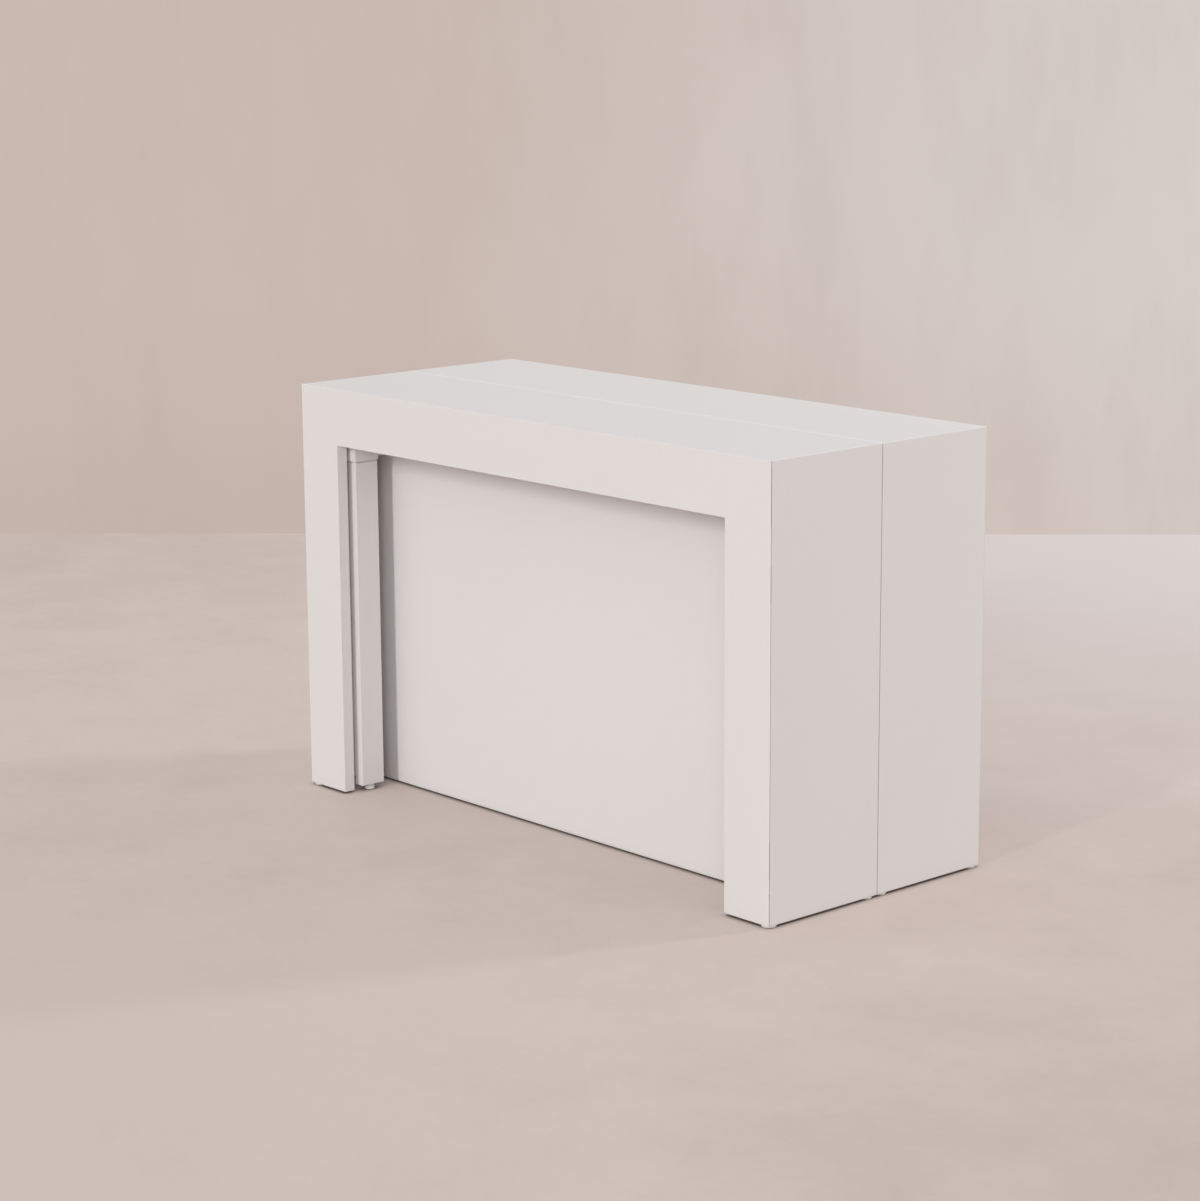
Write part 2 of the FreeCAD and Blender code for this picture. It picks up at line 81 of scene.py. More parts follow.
# %% Place the camera
LENS_MM = 92.38
SENSOR_MM = 36.0
CAMERA_PLACE = Vector((3.8826, -3.5563, 1.5148))
CAMERA_AIM = Vector((-0.0366, -0.0320, 0.4027))
CAMERA_ROLL = math.radians(-0.356)

camera_data = bpy.data.cameras.new("camera")
camera_data.lens = LENS_MM
camera_data.sensor_width = SENSOR_MM
camera_data.sensor_fit = "HORIZONTAL"
camera = bpy.data.objects.new("camera", camera_data)
bpy.context.scene.collection.objects.link(camera)
sight = CAMERA_AIM - CAMERA_PLACE
camera.location = CAMERA_PLACE
camera.rotation_mode = "QUATERNION"
camera.rotation_quaternion = sight.to_track_quat("-Z", "Y") @ Quaternion((0, 0, 1), CAMERA_ROLL)
bpy.context.scene.camera = camera
print("camera looks", round(sight.length, 2), "m along", [round(v, 3) for v in sight.normalized()])

# %% [markdown]
# ## Shader maths as Python
# A finish is a small graph of nodes. Wiring it by hand hides the idea behind the plugs, so one
# class wraps a socket and lets ordinary arithmetic add the Math nodes, and one method makes any
# other node from its type, its settings and its inputs. Colours go through Mix nodes, because a
# Math node would turn them grey.

# %% The socket class and the paint class
class Wire:
    """A shader socket that takes part in Python arithmetic. Each operator adds one Math node."""

    def __init__(self, paint, socket):
        self.paint = paint
        self.socket = socket

    def maths(self, operation, *values):
        return self.paint.node("Math", {"operation": operation}, dict(enumerate(values)))

    def __add__(self, other):
        return self.maths("ADD", self, other)

    def __radd__(self, other):
        return self.maths("ADD", other, self)

    def __sub__(self, other):
        return self.maths("SUBTRACT", self, other)

    def __rsub__(self, other):
        return self.maths("SUBTRACT", other, self)

    def __mul__(self, other):
        return self.maths("MULTIPLY", self, other)

    def __rmul__(self, other):
        return self.maths("MULTIPLY", other, self)

    def __abs__(self):
        return self.maths("ABSOLUTE", self)

    def at_most(self, other):
        return self.maths("MINIMUM", self, other)

    def rise(self, start, end):
        """0 at start, 1 at end, eased between them and steady beyond."""
        settings = {"interpolation_type": "SMOOTHSTEP", "clamp": True}
        return self.paint.node("MapRange", settings, {0: self, 1: start, 2: end, 3: 0.0, 4: 1.0})


class Paint:
    """A new shader tree, for a material or for the world."""

    def __init__(self, owner):
        self.owner = owner
        owner.use_nodes = True
        self.tree = owner.node_tree
        self.tree.nodes.clear()

    def node(self, kind, settings=None, inputs=None, output=0):
        """Make one node: its settings first, then the values or wires of its sockets."""
        made = self.tree.nodes.new("ShaderNode" + kind)
        for name, value in (settings or {}).items():
            setattr(made, name, value)
        for name, value in (inputs or {}).items():
            if isinstance(value, Wire):
                self.tree.links.new(value.socket, made.inputs[name])
            else:
                made.inputs[name].default_value = value
        return Wire(self, made.outputs[output]) if made.outputs else None

    def place(self):
        """The point on the piece, in metres, in the table's own frame."""
        return self.node("TexCoord", output="Object")

    def along(self, vector, axis):
        """How far a vector reaches along an axis, as a number."""
        return self.node("VectorMath", {"operation": "DOT_PRODUCT"}, {0: vector, 1: axis}, output="Value")

    def path(self, *kinds):
        """1 for a ray of any of these kinds, 0 for the rest."""
        rays = self.node("LightPath").socket.node.outputs
        found = sum(Wire(self, rays[kind]) for kind in kinds)
        return found.at_most(1.0)

    def noise(self, scale, detail=2.0, roughness=0.5, stretch=(1, 1, 1), point=None):
        """Cloudy noise over the piece, or over another vector, stretched along each axis."""
        spread = self.node("Mapping", inputs={"Vector": point or self.place(), "Scale": stretch})
        inputs = {"Vector": spread, "Scale": scale, "Detail": detail, "Roughness": roughness}
        return self.node("TexNoise", inputs=inputs)

    def mixed(self, factor, first, second):
        """A colour between two colours."""
        return self.node("Mix", {"data_type": "RGBA"}, {0: factor, 6: first, 7: second}, output=2)

    def bump(self, height, distance, strength):
        return self.node("Bump", inputs={"Height": height, "Distance": distance, "Strength": strength})

    def finish(self, inputs):
        """The surface shader, wired to the material's output."""
        surface = self.node("BsdfPrincipled", inputs=inputs)
        self.node("OutputMaterial", inputs={"Surface": surface})
        return self.owner


def linear(red, green, blue):
    """A colour that is read off a screen, from 0 to 255, as the linear values that Blender wants."""
    def one(value):
        share = value / 255
        return share / 12.92 if share <= 0.04045 else ((share + 0.055) / 1.055) ** 2.4
    return (one(red), one(green), one(blue), 1.0)


print("a mid grey of 128 is", round(linear(128, 128, 128)[0], 3), "in linear light")

# %% [markdown]
# ## The studio
# The picture was taken in a warm beige studio with a smooth, faintly clouded floor and a plain wall.
# A wall object would stand in the way of a camera that looks from behind, so the wall is the
# world's own colour, seen only by the camera and in reflections. The floor is one wide square that
# ends where the wall begins, so the opened table never runs off it. A share of the floor's own
# colour is shown without shading, because light from all round darkens a floor near the table more
# than a real room does. An ambient occlusion node finds where the table closes the floor in, and the
# share fades away there. A mask drawn on the floor would stay behind when the table is pulled out.
# The floor's colour also holds painted light and shade: broad lighter and darker bands, a painted pool of
# light at the far right, and painted contact shade where the table closes the floor in.

# %% Lay the floor
WALL_DISTANCE = 8.03
WALL_TURN = math.radians(2.4)
FLOOR_REACH = 14.0

heading = Matrix.Rotation(-WALL_TURN, 3, "Z") @ Vector((sight.x, sight.y, 0)).normalized()
rightward = Vector((heading.y, -heading.x, 0))
camera_foot = Vector((CAMERA_PLACE.x, CAMERA_PLACE.y, 0))
floor_middle = camera_foot + heading * (WALL_DISTANCE - FLOOR_REACH)
turns = ((-1, -1), (1, -1), (1, 1), (-1, 1))
corners = [heading * a * FLOOR_REACH + rightward * b * FLOOR_REACH for a, b in turns]
mesh = bpy.data.meshes.new("floor")
mesh.from_pydata([floor_middle + corner for corner in corners], [], [(0, 1, 2, 3)])
floor = bpy.data.objects.new("floor", mesh)
bpy.context.scene.collection.objects.link(floor)
floor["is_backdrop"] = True
print("floor ends", WALL_DISTANCE, "m from the camera, normal", mesh.polygons[0].normal.z)

# %% The tone of the floor and its painted light and shade, in metres from the camera and right of it
CLOUD_SHARE = 0.85
CONTRAST = 2.0
LEFT_HALF = (0.9, -0.9)
NEAR_LEFT, NEAR_LEFT_GAIN = (6.0, 4.2), 0.6
NEAR_RIGHT, NEAR_RIGHT_LOSS = (4.5, 3.7), 0.35
FAR_START, FAR_END, FAR_GAIN = (5.1, 5.8), (7.7, 6.4), 0.36


def floor_tone(away, right, cloud, grain):
    """0 for the darker floor colour and 1 for the lighter one: random clouds, and three broad bands of
    painted light and shade.
    """
    left = right.rise(*LEFT_HALF)
    # Painted light and shade: the floor is lighter near on the left, darker near on the right, and lighter
    # in a far band.
    painted_light_near_left = away.rise(*NEAR_LEFT) * left * NEAR_LEFT_GAIN
    painted_shade_near_right = away.rise(*NEAR_RIGHT) * (1 - left) * NEAR_RIGHT_LOSS
    far = away.rise(*FAR_START) * away.rise(*FAR_END) * FAR_GAIN
    clouds = (cloud * CLOUD_SHARE + grain * (1 - CLOUD_SHARE) - 0.5) * CONTRAST + 0.5
    return clouds + (painted_light_near_left - painted_shade_near_right) + far


print("the far band is brightest", FAR_START[1], "to", FAR_END[1], "m from the camera")

# %% The floor's finish
FLOOR_DARK = linear(195, 180, 173)
FLOOR_LIGHT = linear(209, 194, 187)
# The lighter colour of a painted pool of light at the far right of the floor.
FLOOR_PAINTED_LIGHT = linear(217, 208, 207)
FLOOR_CONTACT_SHADE = linear(112, 98, 90)
PAINTED_LIGHT_AWAY = (4.6, WALL_DISTANCE)
PAINTED_LIGHT_RIGHT = (-1.6, 1.5)
OPEN_REACH, OPEN_RANGE = 0.8, (0.1, 0.4)
CONTACT_SHADE_REACH, CONTACT_SHADE_RANGE = 0.02, (0.1, 0.85)
EVEN_SHARE = 0.4
EVEN_STRENGTH = 1.13
SEEN_RAYS = ("Is Camera Ray", "Is Glossy Ray", "Is Transmission Ray")


def openness(paint, reach):
    """1 where nothing covers the floor within a reach, 0 where something closes it in."""
    return paint.node("AmbientOcclusion", {"samples": 4}, {"Distance": reach}, output="AO")


def floor_finish():
    paint = Paint(bpy.data.materials.new("studio_floor"))
    cloud = paint.noise(scale=3.2, detail=6.0, roughness=0.65)
    grain = paint.noise(scale=38.0, detail=3.0)
    away = paint.along(paint.place(), heading) - camera_foot.dot(heading)
    right = paint.along(paint.place(), rightward) - camera_foot.dot(rightward)
    tone = floor_tone(away, right, cloud, grain)
    # Towards the far right the floor's colour is blended to a lighter one: a painted pool of light, which
    # also lightens the key lamp's shadow behind the table.
    painted_pool = away.rise(*PAINTED_LIGHT_AWAY) * right.rise(*PAINTED_LIGHT_RIGHT)
    clear = paint.mixed(painted_pool, paint.mixed(tone, FLOOR_DARK, FLOOR_LIGHT), FLOOR_PAINTED_LIGHT)
    # Where the floor is closed in right at the table's feet and edges, its colour is darkened towards a
    # dark brown: painted contact shade.
    beyond_contact_shade = openness(paint, CONTACT_SHADE_REACH).rise(*CONTACT_SHADE_RANGE)
    colour = paint.mixed(beyond_contact_shade, FLOOR_CONTACT_SHADE, clear)
    relief = paint.bump(grain, distance=0.4 * MM, strength=0.3)
    lit = paint.node("BsdfPrincipled", inputs={"Base Color": colour, "Roughness": 0.5 + cloud * 0.12,
                                               "Normal": relief, "Specular IOR Level": 0.25})
    even = paint.node("Emission", inputs={"Color": colour, "Strength": EVEN_STRENGTH})
    share = openness(paint, OPEN_REACH).rise(*OPEN_RANGE) * EVEN_SHARE
    both = paint.node("MixShader", inputs={0: share * paint.path(*SEEN_RAYS), 1: lit, 2: even})
    paint.node("OutputMaterial", inputs={"Surface": both})
    return paint.owner


floor.data.materials.append(floor_finish())
print("floor nodes:", len(floor.active_material.node_tree.nodes))

# %% The wall and the soft light from all round
WALL_LEFT = linear(202, 186, 178)
WALL_RIGHT = linear(218, 210, 206)
WALL_STREAK = linear(182, 167, 160)
FOOT_LEFT = linear(194, 176, 168)
FOOT_RIGHT = linear(212, 198, 191)
WALL_FADE, WALL_MIDDLE, PLASTER_SHARE = 3.4, 0.31, 0.5
FOOT_RANGE, FOOT_SHADE_SHARE = (0.10, 0.19), 0.55
STREAK_RANGE, STREAK_SHARE = (0.4, 0.75), 0.16
ROOM_COLOUR = (1.0, 1.0, 1.0, 1.0)
ROOM_LIGHT = 0.568

world = bpy.data.worlds.new("studio")
bpy.context.scene.world = world
sky = Paint(world)
direction = sky.node("TexCoord", output="Generated")
plaster = sky.noise(scale=7.0, detail=5.0, roughness=0.55, point=direction)
streaks = sky.noise(scale=50.0, detail=4.0, roughness=0.6, stretch=(1, 1, 0.3), point=direction)
# Apart from the random plaster clouds and streaks, the wall is painted darker to the left and towards its
# foot at the floor: painted light and shade.
across = sky.along(direction, rightward) * WALL_FADE + WALL_MIDDLE + (plaster - 0.5) * PLASTER_SHARE
foot = sky.along(direction, (0, 0, -1)).rise(*FOOT_RANGE) * FOOT_SHADE_SHARE
upper_colour = sky.mixed(across, WALL_LEFT, WALL_RIGHT)
foot_colour = sky.mixed(across, FOOT_LEFT, FOOT_RIGHT)
smooth = sky.mixed(foot, upper_colour, foot_colour)
wall_colour = sky.mixed(streaks.rise(*STREAK_RANGE) * STREAK_SHARE, smooth, WALL_STREAK)
wall = sky.node("Background", inputs={"Color": wall_colour, "Strength": 1.0})
room = sky.node("Background", inputs={"Color": ROOM_COLOUR, "Strength": ROOM_LIGHT})
both = sky.node("MixShader", inputs={0: sky.path(*SEEN_RAYS), 1: room, 2: wall})
sky.node("OutputWorld", inputs={"Surface": both})
print("world made: wall", [round(v, 2) for v in WALL_LEFT[:3]], "room light", ROOM_LIGHT)

# %% [markdown]
# ## The lamps
# The front faces are lit by two lamps so far off that they reach the closed and the opened table
# alike, and a faint broad one hangs above. The key lamp is a tall, narrow box: the post's shadow on
# the panel has a crisp upright edge, while the shadow under the rail fades slowly, and a round lamp
# gives both the same softness. The last lamp stands behind the table on the right and throws a soft
# shadow across the floor to the left. Its place was not guessed: the two edges of that shadow start at
# opposite corners of the table, and followed back along the floor they meet under the lamp.

# %% The lamps
def lamp(name, kind, place, strength, **size):
    """A lamp that points at the middle of the floor."""
    data = bpy.data.lights.new(name, kind)
    data.energy = strength
    for field, value in size.items():
        setattr(data, field, value)
    made = bpy.data.objects.new(name, data)
    made.location = place
    made.rotation_mode = "QUATERNION"
    made.rotation_quaternion = (-Vector(place)).to_track_quat("-Z", "Y")
    made.visible_camera = False
    bpy.context.scene.collection.objects.link(made)


lamp("key_box", "AREA", (5.84, -36.97, 14.11), strength=4690.0, shape="RECTANGLE", size=2.8, size_y=9.8)
lamp("fill_box", "SUN", (3.3, -3.3, 1.4), strength=0.417, angle=math.radians(18))
lamp("top_box", "SUN", (0.0, 0.2, 3.6), strength=0.15, angle=math.radians(60))
lamp("back_box", "AREA", (3.2, 6.4, 4.3), strength=202.0, size=1.0)
bpy.context.scene.view_settings.view_transform = "Standard"

# %% [markdown]
# ## White lacquer
# Every board, the posts and the panel wear the same sprayed, nearly matt lacquer. It is almost one
# colour, so what tells it from plastic is small: a faint skin like orange peel, broad soft patches
# where the spray is thicker, and a thin coat that shines a little more than the colour under it. The
# patches go into the colour and the roughness, and the skin is a bump. Along the split in the top
# the two edges are rubbed down, so that a hand doesn't catch on them, and a thin band along them is
# painted paler: a painted highlight, where light catches the eased edges.

# %% The lacquer finish
LACQUER = (0.807, 0.789, 0.784, 1.0)
LACQUER_THICK = (0.792, 0.772, 0.765, 1.0)
LACQUER_EDGE_HIGHLIGHT = (0.866, 0.85, 0.845, 1.0)
HIGHLIGHT_REACH = (3.0 * MM, 2.5 * MM)
HIGHLIGHT_DEPTH = (1.5 * MM, 1.0 * MM)


def lacquer_finish():
    paint = Paint(bpy.data.materials.new("white_lacquer"))
    patches = paint.noise(scale=3.5, detail=3.0)
    peel = paint.noise(scale=520.0)
    dust = paint.noise(scale=90.0, detail=4.0, roughness=0.7)
    from_split = abs(paint.along(paint.place(), (0, 1, 0)))
    below_top = cad_high.z - paint.along(paint.place(), (0, 0, 1))
    # A band about 2.5 mm either side of the split, at the top face, is painted paler: a painted highlight
    # on the eased edges.
    edge_highlight = from_split.rise(*HIGHLIGHT_REACH) * below_top.rise(*HIGHLIGHT_DEPTH)
    colour = paint.mixed(edge_highlight, paint.mixed(patches, LACQUER, LACQUER_THICK), LACQUER_EDGE_HIGHLIGHT)
    gloss = 0.54 + patches * 0.08 + dust * 0.06
    skin = paint.bump(peel, distance=0.12 * MM, strength=0.35)
    return paint.finish({"Base Color": colour, "Roughness": gloss, "Normal": skin, "Coat Weight": 0.06,
                         "Coat Roughness": 0.42, "Specular IOR Level": 0.4})


lacquer = lacquer_finish()
print("lacquer nodes:", len(lacquer.node_tree.nodes))

# %% [markdown]
# ## Metals, plastics and beech
# The rails are drawn through a die, so fine lines run along them. The steel brackets and screws
# are zinc plated, with a spangled, cloudy shine, and the sockets are powder coated. The shoes, plugs
# and glides are moulded, and the cleats are planed beech, with grain along their length. All of them
# could share one noise, but each has its mark at its own scale, so each gets a finish of its own.

# %% The metal finishes
POWDER_COAT = ((0.79, 0.78, 0.775, 1.0), (0.76, 0.75, 0.745, 1.0))
ALUMINIUM = ((0.66, 0.67, 0.685, 1.0), (0.78, 0.785, 0.79, 1.0))
ZINC = ((0.58, 0.60, 0.63, 1.0), (0.70, 0.70, 0.69, 1.0))


def powder_coat_finish():
    paint = Paint(bpy.data.materials.new("white_steel"))
    grit = paint.noise(scale=900.0)
    return paint.finish({"Base Color": paint.mixed(grit, *POWDER_COAT), "Roughness": 0.42 + grit * 0.1,
                         "Normal": paint.bump(grit, distance=0.1 * MM, strength=0.5)})


def drawn_aluminium_finish():
    paint = Paint(bpy.data.materials.new("drawn_aluminium"))
    lines = paint.noise(scale=700.0, detail=3.0, stretch=(1, 0.004, 1))
    haze = paint.noise(scale=14.0, detail=3.0)
    return paint.finish({"Base Color": paint.mixed(lines, *ALUMINIUM), "Metallic": 1.0,
                         "Roughness": 0.4 + lines * 0.12 + haze * 0.1,
                         "Normal": paint.bump(lines, distance=0.08 * MM, strength=0.5)})


def zinc_finish():
    paint = Paint(bpy.data.materials.new("zinc_steel"))
    spangle = paint.noise(scale=260.0)
    haze = paint.noise(scale=35.0, detail=3.0)
    return paint.finish({"Base Color": paint.mixed(spangle, *ZINC), "Metallic": 1.0,
                         "Roughness": 0.26 + haze * 0.2,
                         "Normal": paint.bump(spangle, distance=0.04 * MM, strength=0.4)})


metals = {
    "white_steel": powder_coat_finish(),
    "aluminium": drawn_aluminium_finish(),
    "zinc_steel": zinc_finish(),
}
print("metal finishes:", sorted(metals))

# %% The plastic and beech finishes
NYLON = ((0.035, 0.035, 0.038, 1.0), (0.06, 0.06, 0.065, 1.0))
PLASTIC = ((0.74, 0.74, 0.73, 1.0), (0.80, 0.80, 0.79, 1.0))
BEECH = ((0.50, 0.31, 0.17, 1.0), (0.70, 0.50, 0.32, 1.0))


def moulded_finish(name, colours, rough):
    paint = Paint(bpy.data.materials.new(name))
    grain = paint.noise(scale=1100.0)
    haze = paint.noise(scale=45.0)
    return paint.finish({"Base Color": paint.mixed(haze, *colours), "Roughness": rough + grain * 0.12,
                         "Normal": paint.bump(grain, distance=0.08 * MM, strength=0.5)})


def beech_finish():
    paint = Paint(bpy.data.materials.new("planed_beech"))
    grain = paint.noise(scale=190.0, detail=4.0, roughness=0.6, stretch=(1, 0.05, 1))
    flecks = paint.noise(scale=800.0, detail=1.0, stretch=(1, 0.12, 1))
    figure = (grain * 0.75 + flecks * 0.25 - 0.5) * 1.8 + 0.5
    return paint.finish({"Base Color": paint.mixed(figure, *BEECH), "Roughness": 0.5 + grain * 0.15,
                         "Normal": paint.bump(flecks, distance=0.2 * MM, strength=0.5)})


FINISHES = {
    **metals,
    "white_lacquer": lacquer,
    "black_nylon": moulded_finish("black_nylon", NYLON, rough=0.42),
    "white_plastic": moulded_finish("white_plastic", PLASTIC, rough=0.38),
    "foot_plastic": moulded_finish("foot_plastic", PLASTIC, rough=0.38),
    "beech": beech_finish(),
}
print("all finishes:", sorted(FINISHES))

# %% [markdown]
# ## Dressing the nodes
# Each node of the model is one made piece, such as a board or a set of screws. They could be dressed
# one by one by name. The record already says which finish each node has, so a loop dresses them and
# none is missed.

# %% Dress every node
for part in frame["record"]["subparts"]:
    piece = frame["nodes"][part["node"]]
    piece.data.materials.clear()
    piece.data.materials.append(FINISHES[part["material_slot"]])

# %% [markdown]
# ## Cross-head screws
# Pan-head screws hold the corner brackets and the posts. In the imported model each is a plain
# turned solid. A cross could be faked with a bump, but a bump has no depth at the edge, so the head
# is meshed: a domed profile is spun round the axis and a cross is sunk into its crown. Each screw
# is found as a loose part of its node, so it stays where the model has it.

# %% Helpers that find loose parts and spin profiles
WELD_REACH = 1e-6


def loose_parts(node):
    """The points of each separate solid in a node."""
    mesh = bmesh.new()
    mesh.from_mesh(frame["nodes"][node].data)
    bmesh.ops.remove_doubles(mesh, verts=mesh.verts, dist=WELD_REACH)
    seen = set()
    parts = []
    for first in mesh.verts:
        if first in seen:
            continue
        seen.add(first)
        waiting = [first]
        points = []
        while waiting:
            vertex = waiting.pop()
            points.append(vertex.co.copy())
            near = [edge.other_vert(vertex) for edge in vertex.link_edges]
            fresh = [other for other in near if other not in seen]
            seen.update(fresh)
            waiting.extend(fresh)
        parts.append(points)
    mesh.free()
    return parts


def spin(mesh, profile, segments):
    """Rings of points round the z axis from (radius, height) pairs in millimetres, joined by faces."""
    rings = []
    for radius, height in profile:
        angles = [2 * math.pi * k / segments for k in range(segments)]
        points = [Vector((radius * math.cos(a), radius * math.sin(a), height)) * MM for a in angles]
        rings.append([mesh.verts.new(point) for point in points])
    for lower, upper in zip(rings, rings[1:]):
        for k in range(segments):
            after = (k + 1) % segments
            mesh.faces.new((lower[k], lower[after], upper[after], upper[k]))
    return rings


def add_piece(name, mesh, finish, body):
    """Turn a finished bmesh into an object that rides on a body."""
    bmesh.ops.recalc_face_normals(mesh, faces=mesh.faces)
    data = bpy.data.meshes.new(name)
    mesh.to_mesh(data)
    mesh.free()
    piece = bpy.data.objects.new(name, data)
    bpy.context.scene.collection.objects.link(piece)
    data.materials.append(finish)
    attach(piece, body)
    return piece


print("bracket screws in the front half:", len(loose_parts("front_bracket_screws")))

# %% The shape of one screw, in millimetres from the seat of its head
SHANK_PROFILE = [(0.15, 16.0), (1.95, 12.0), (1.95, 0.0)]
HEAD_PROFILE = [(4.0, 0.0), (4.0, -0.8), (3.86, -1.35), (3.45, -1.85), (2.85, -2.25), (2.35, -2.42)]
SCREW_SEGMENTS = 28
CROSS_REACH = 1.9
CROSS_HALF_WIDTH = 0.42
CROSS_TOP = -2.5
CROSS_FLOOR = -1.2
CROSS_TAPER = 0.62


def cross_outline(height, taper):
    """Twelve points round a cross, from the end of one arm to the next."""
    reach, width = CROSS_REACH * taper, CROSS_HALF_WIDTH
    arm = [(reach, -width), (reach, width), (width, width)]
    points = []
    for turn in range(4):
        spun = Matrix.Rotation(turn * math.pi / 2, 3, "Z")
        points += [spun @ Vector((x, y, height)) * MM for x, y in arm]
    return points


def loop_edges(mesh, ring):
    """The edges that close a ring of points."""
    return [mesh.edges.get(pair) or mesh.edges.new(pair) for pair in zip(ring, ring[1:] + ring[:1])]


def add_screw(mesh, seat, direction):
    """A pan-head screw with a cross recess, seated at a point and driven along a direction."""
    screw = bmesh.new()
    rings = spin(screw, SHANK_PROFILE + HEAD_PROFILE, SCREW_SEGMENTS)
    screw.faces.new(rings[0])
    rim = [screw.verts.new(point) for point in cross_outline(CROSS_TOP, 1.0)]
    sunk = [screw.verts.new(point) for point in cross_outline(CROSS_FLOOR, CROSS_TAPER)]
    crown = loop_edges(screw, rings[-1]) + loop_edges(screw, rim)
    bmesh.ops.triangle_fill(screw, use_beauty=True, edges=crown)
    for k in range(len(rim)):
        after = (k + 1) % len(rim)
        screw.faces.new((rim[k], rim[after], sunk[after], sunk[k]))
    screw.faces.new(sunk)
    screw.transform(Matrix.Translation(seat) @ direction.to_track_quat("Z", "Y").to_matrix().to_4x4())
    ready = bpy.data.meshes.new("one_screw")
    screw.to_mesh(ready)
    screw.free()
    mesh.from_mesh(ready)
    bpy.data.meshes.remove(ready)


print("a screw head is", 2 * HEAD_PROFILE[0][0], "mm across, with a cross of", 2 * CROSS_REACH, "mm")

# %% Mesh the screws
HEAD_SHARE = 0.9
SCREWS = {"front_bracket_screws": "front_half", "rear_bracket_screws": "rear_half",
          "post_screws": "middle_support"}


def screw_seat(points):
    """The middle of the face under a screw's head, and the direction in which it is driven."""
    low = Vector([min(point[i] for point in points) for i in range(3)])
    high = Vector([max(point[i] for point in points) for i in range(3)])
    middle = (low + high) / 2
    axis = max(range(3), key=lambda i: high[i] - low[i])
    beside = [i for i in range(3) if i != axis]
    offsets = [math.hypot(*(point[i] - middle[i] for i in beside)) for point in points]
    head = [point[axis] for point, offset in zip(points, offsets) if offset > HEAD_SHARE * max(offsets)]
    forward = sum(head) / len(head) < middle[axis]
    direction = Vector((0, 0, 0))
    direction[axis] = 1 if forward else -1
    middle[axis] = max(head) if forward else min(head)
    return middle, direction


for node, body in SCREWS.items():
    mesh = bmesh.new()
    seats = [screw_seat(points) for points in loose_parts(node)]
    for seat, direction in seats:
        add_screw(mesh, seat, direction)
    piece = add_piece("crosshead_" + node, mesh, FINISHES["zinc_steel"], body)
    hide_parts(node)
    print(node, len(seats), "screws,", len(piece.data.polygons), "faces")

# %% [markdown]
# ## Levelling feet
# Under each post a white pad turns on a steel stem. The thread could be a texture, but it shows at
# the outline when the foot is screwed out, so the stem is a tube whose radius rises and falls along
# a helix. The pad is spun from a rounded profile, and a hexagon sits on it for a spanner.

# %% The shape of one foot, in millimetres above the floor
PAD_PROFILE = [(6.2, 0.0), (7.0, 0.15), (8.2, 0.9), (8.85, 1.9), (9.0, 2.7), (8.55, 5.8), (8.1, 6.7),
               (7.4, 7.0)]
PAD_SEGMENTS = 40
NUT_SIDES = 6
NUT_CORNER = 13.0 / math.sqrt(3)
NUT_PROFILE = [(0.94 * NUT_CORNER, 7.0), (NUT_CORNER, 7.35), (NUT_CORNER, 10.65), (0.94 * NUT_CORNER, 11.0)]
STEM_RADIUS = 4.0
STEM_BASE = 11.0
STEM_TOP = 47.0
STEM_SEGMENTS = 18
THREAD_PITCH = 1.5
THREAD_DEPTH = 0.7
THREAD_ROWS = 6


def capped(mesh, rings):
    """Close the two ends of a spun form."""
    mesh.faces.new(rings[0])
    mesh.faces.new(rings[-1])


def threaded_stem(mesh):
    """A rod along z with a helical ridge."""
    step = THREAD_PITCH / THREAD_ROWS
    rows = round((STEM_TOP - STEM_BASE) / step)
    rings = spin(mesh, [(STEM_RADIUS, STEM_BASE + k * step) for k in range(rows + 1)], STEM_SEGMENTS)
    for row, ring in enumerate(rings):
        for k, vertex in enumerate(ring):
            turn = (row / THREAD_ROWS - k / STEM_SEGMENTS) % 1.0
            shrink = 1 - abs(2 * turn - 1) * THREAD_DEPTH / STEM_RADIUS
            vertex.co.x *= shrink
            vertex.co.y *= shrink
    capped(mesh, rings)


print("a stem has", (STEM_TOP - STEM_BASE) / THREAD_PITCH, "turns of thread")

# %% Mesh the feet
for side in ("left", "right"):
    node = side + "_levelling_foot"
    body = side + "_foot"
    low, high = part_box(node)
    place = Matrix.Translation(((low.x + high.x) / 2, (low.y + high.y) / 2, low.z))
    pad = bmesh.new()
    capped(pad, spin(pad, PAD_PROFILE, PAD_SEGMENTS))
    capped(pad, spin(pad, NUT_PROFILE, NUT_SIDES))
    pad.transform(place)
    piece = add_piece(side + "_foot_pad", pad, FINISHES["foot_plastic"], body)
    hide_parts(node)
    stem = bmesh.new()
    threaded_stem(stem)
    stem.transform(place)
    add_piece(side + "_foot_stem", stem, FINISHES["zinc_steel"], body)
    print(node, "at", [round(v, 3) for v in place.translation])

# %% [markdown]
# ## The strip under the panel
# The panel travels with the middle support, just clear of the floor. A thin white strip under it
# takes the rubs of an uneven floor, and it narrows the gap to the fine dark line that is seen from
# the front. The gap could be narrowed by a longer panel, but the strip stands back behind the panel's
# eased edge, so it is a bar of its own: a cube brought to size, with its edges broken.

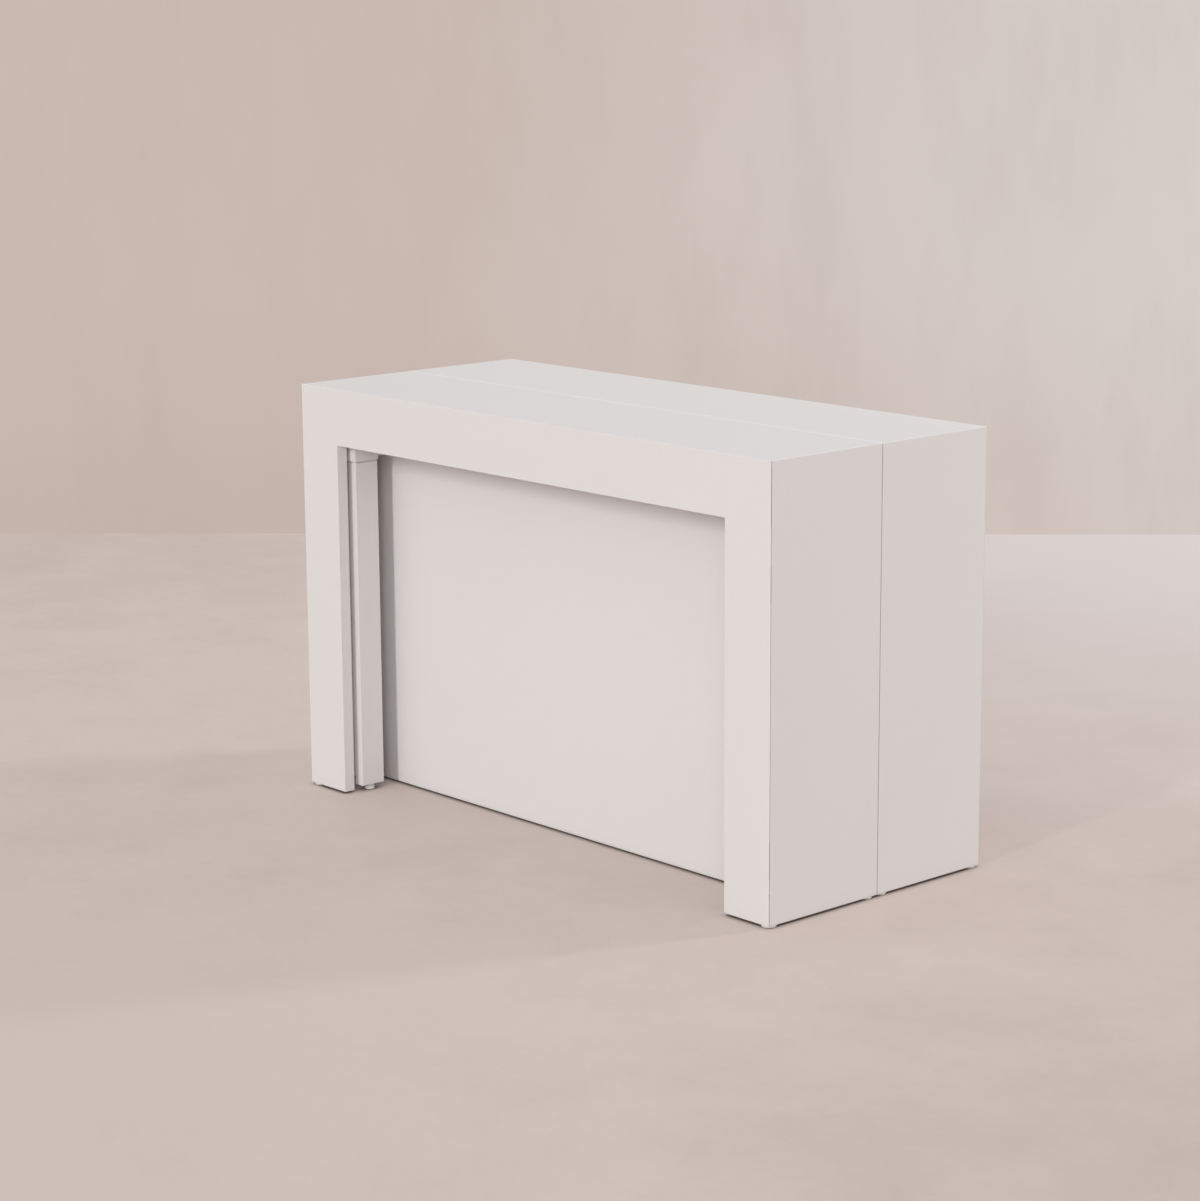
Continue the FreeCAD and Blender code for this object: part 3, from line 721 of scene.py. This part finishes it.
# %% Mesh the strip
STRIP_THICKNESS = 2.5
STRIP_SETBACK = 0.8
STRIP_END_GAP = 4.0
STRIP_EDGE = 0.4

panel_low, panel_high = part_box("centre_panel")
margin = Vector((STRIP_END_GAP, STRIP_SETBACK, 0)) * MM
strip_low = panel_low + margin - Vector((0, 0, STRIP_THICKNESS)) * MM
strip_high = Vector((panel_high.x, panel_high.y, panel_low.z)) - margin
strip = bmesh.new()
bmesh.ops.create_cube(strip, size=1.0)
bmesh.ops.scale(strip, vec=strip_high - strip_low, verts=strip.verts)
bmesh.ops.translate(strip, vec=(strip_low + strip_high) / 2, verts=strip.verts)
bmesh.ops.bevel(strip, geom=strip.edges[:], offset=STRIP_EDGE * MM, segments=2, profile=0.5, affect="EDGES")
piece = add_piece("panel_slide_strip", strip, FINISHES["white_plastic"], "middle_support")
print("strip:", [round(v, 4) for v in piece.dimensions])

# %% [markdown]
# ## Soft edges on the hidden hardware
# Nothing that is sawn, drawn or moulded has a perfectly sharp edge, and a thin bright line along an
# edge is what makes metal read as metal. The solids of the rails, brackets, shoes, plugs, cleats,
# stretchers and battens are sharp. Their meshes could be cut again, but a bevel modifier breaks the
# edges and leaves each node's own mesh alone.

# %% Break the edges
SOFT_EDGES = {"_rail": 0.35, "_brackets": 0.4, "_shoes": 0.25, "_plugs": 0.25, "_cleats": 1.0,
              "_stretcher": 1.0, "_batten": 1.0}
SHARP_ANGLE = math.radians(40)


def soften(node, width):
    bevel = frame["nodes"][node].modifiers.new("soft_edges", "BEVEL")
    bevel.width = width * MM
    bevel.segments = 2
    bevel.limit_method = "ANGLE"
    bevel.angle_limit = SHARP_ANGLE


softened = 0
for node in frame["nodes"]:
    for ending, width in SOFT_EDGES.items():
        if node.endswith(ending):
            soften(node, width)
            softened += 1
print("softened", softened, "nodes")

# %% [markdown]
# ## Measuring before the end
# A ruler in the viewport would do for one look, but here the box of the imported model is printed when
# it is loaded and the box of the dressed one at the end, so the two can be compared after every render.

# %% Sizes
low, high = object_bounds()
print("dressed table:", [round(v, 4) for v in high - low])
